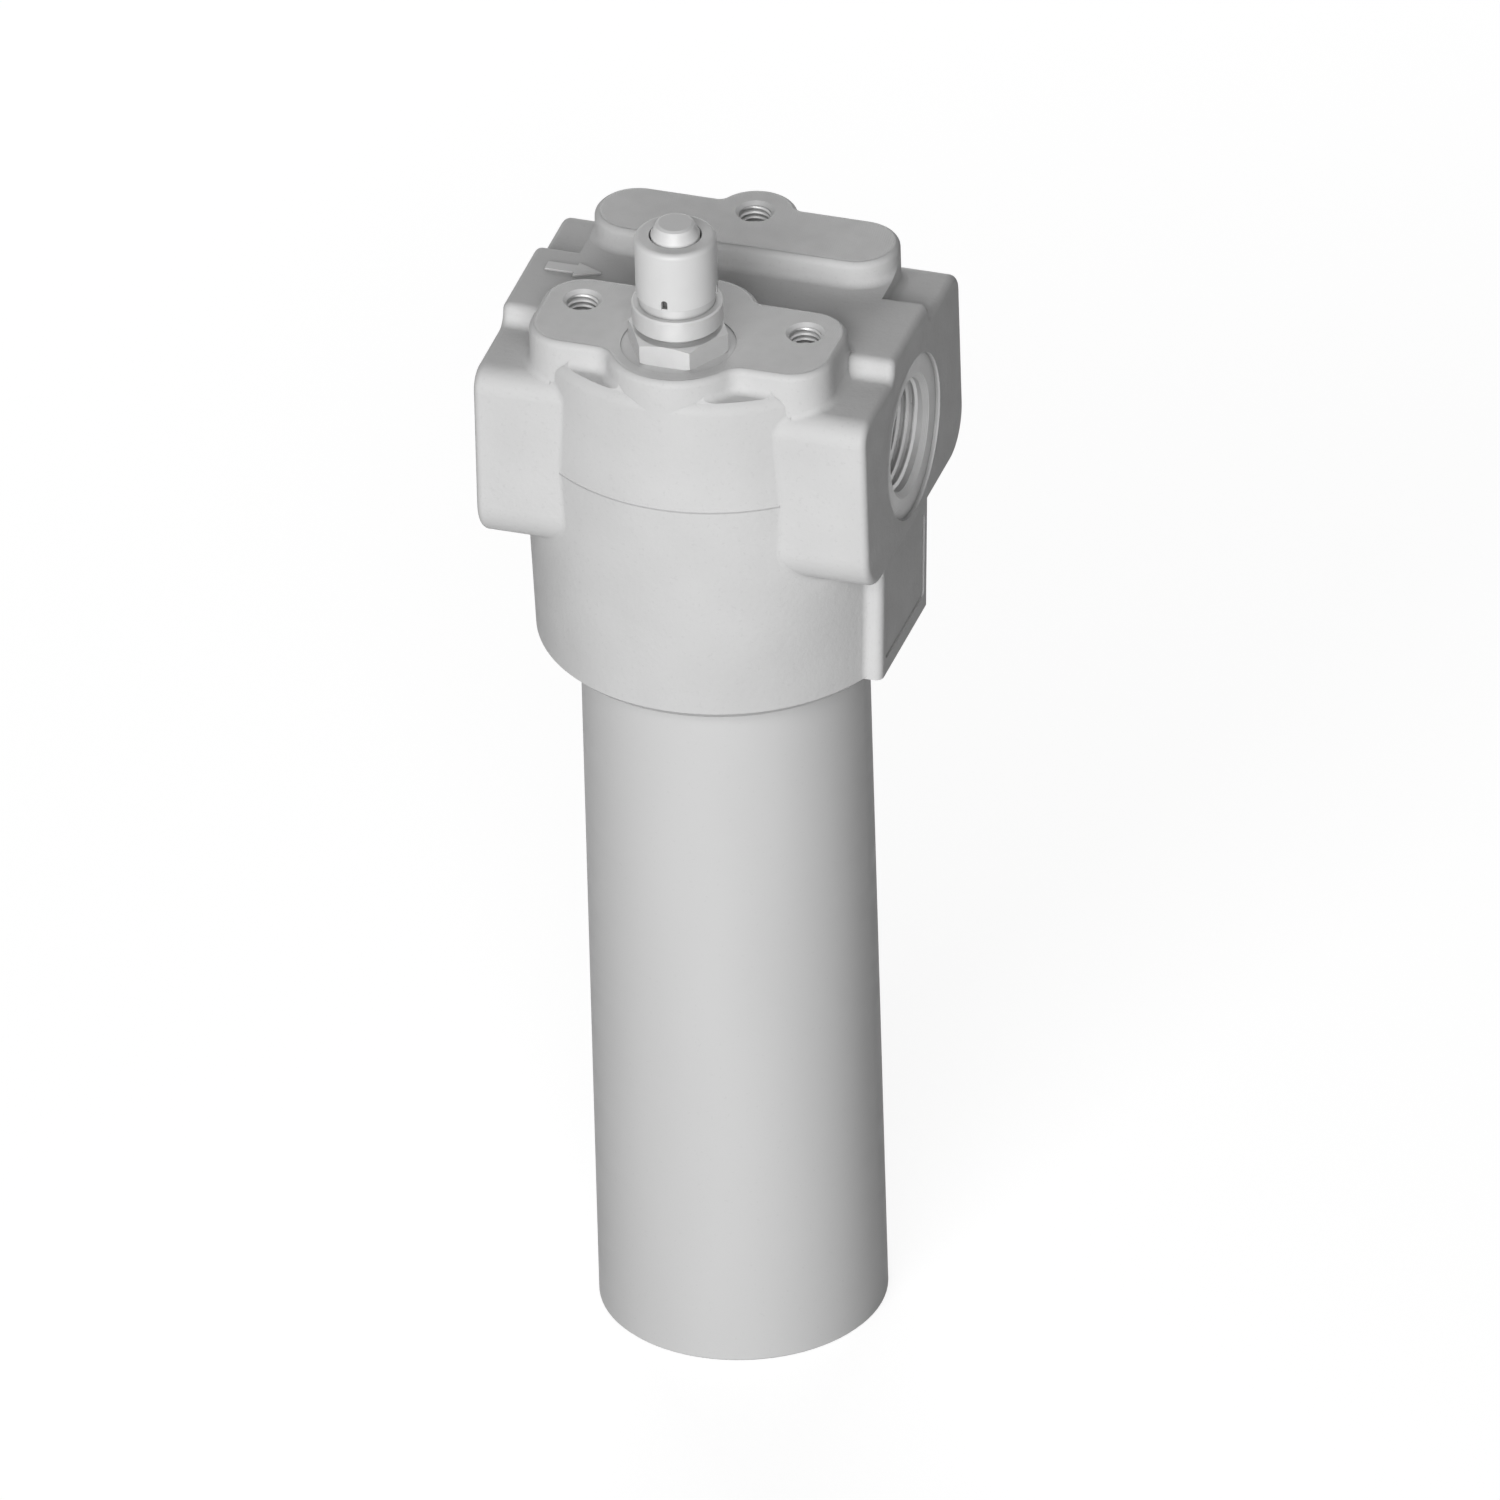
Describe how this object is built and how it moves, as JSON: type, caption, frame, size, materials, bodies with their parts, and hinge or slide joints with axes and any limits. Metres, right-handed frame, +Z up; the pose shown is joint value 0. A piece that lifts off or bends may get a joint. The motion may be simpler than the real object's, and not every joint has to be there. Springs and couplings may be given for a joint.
{
  "type": "hydraulic pressure filter",
  "caption": "Inline high-pressure oil filter: cast head with opposite threaded ports, screwed-on bowl, element inside and pop-up clogging indicator.",
  "frame": {"origin": "centre of the bowl's flat bottom", "axes": "+Z up along the bowl, +X in the direction of flow towards the outlet, -Y towards the indicator"},
  "size_m": [0.1068, 0.102, 0.3453],
  "materials": {
    "cast_housing": "fine cast, light grey paint, machined seats bare",
    "bowl_steel": "smooth turned, satin",
    "turned_steel": "turned",
    "element_metal": "pressed, tinned",
    "filter_media": "pleated sheet",
    "spring_steel": "drawn wire",
    "seal_rubber": "smooth",
    "backup_plastic": "smooth",
    "indicator_metal": "turned, satin",
    "cap_plastic": "satin moulded",
    "button_plastic": "satin moulded",
    "magnet": "ground"
  },
  "bodies": {
    "housing": {"filter_head": "cast_housing", "outlet_spigot": "turned_steel", "element_top_cap": "element_metal", "element_oring": "seal_rubber", "element_pleat_pack": "filter_media", "element_core": "element_metal", "element_bottom_cap": "element_metal", "bypass_cage": "element_metal", "bypass_spring": "spring_steel", "indicator_body": "indicator_metal", "indicator_seal_ring": "seal_rubber", "indicator_stem_oring": "seal_rubber", "stem_plug": "turned_steel", "piston_spring": "spring_steel", "indicator_cap": "cap_plastic", "button_spring": "spring_steel"},
    "nose_seal": {"bowl_oring": "seal_rubber", "bowl_backup_ring": "backup_plastic"},
    "bowl": {"bowl": "bowl_steel"},
    "bypass_poppet": {"bypass_poppet": "turned_steel"},
    "indicator_piston": {"indicator_piston": "turned_steel", "piston_magnet": "magnet"},
    "indicator_button": {"indicator_button": "button_plastic", "button_magnet": "magnet"}
  },
  "joints": [
    {"name": "bowl_drop", "type": "slide", "parent": "housing", "child": "nose_seal", "axis": [0, 0, 1], "range_m": [-0.02, 0]},
    {"name": "bowl_turn", "type": "hinge", "parent": "nose_seal", "child": "bowl", "pos_m": [0, 0, 0], "axis": [0, 0, 1], "range_deg": [-3600, 0]},
    {"name": "bypass_open", "type": "slide", "parent": "housing", "child": "bypass_poppet", "axis": [0, 0, 1], "range_m": [0, 0.005], "stiffness_N_per_m": 1500, "springref_m": -0.005, "deforming": ["bypass_spring"]},
    {"name": "piston_travel", "type": "slide", "parent": "housing", "child": "indicator_piston", "axis": [0, 0, 1], "range_m": [-0.003, 0], "stiffness_N_per_m": 800, "springref_m": 0.004, "deforming": ["piston_spring"]},
    {"name": "button_rise", "type": "slide", "parent": "housing", "child": "indicator_button", "axis": [0, 0, 1], "range_m": [0, 0.004], "deforming": ["button_spring"]}
  ],
  "couplings": [
    {"joint": "bowl_drop", "follows": "bowl_turn", "m_per_rad": 0.00031831}
  ]
}
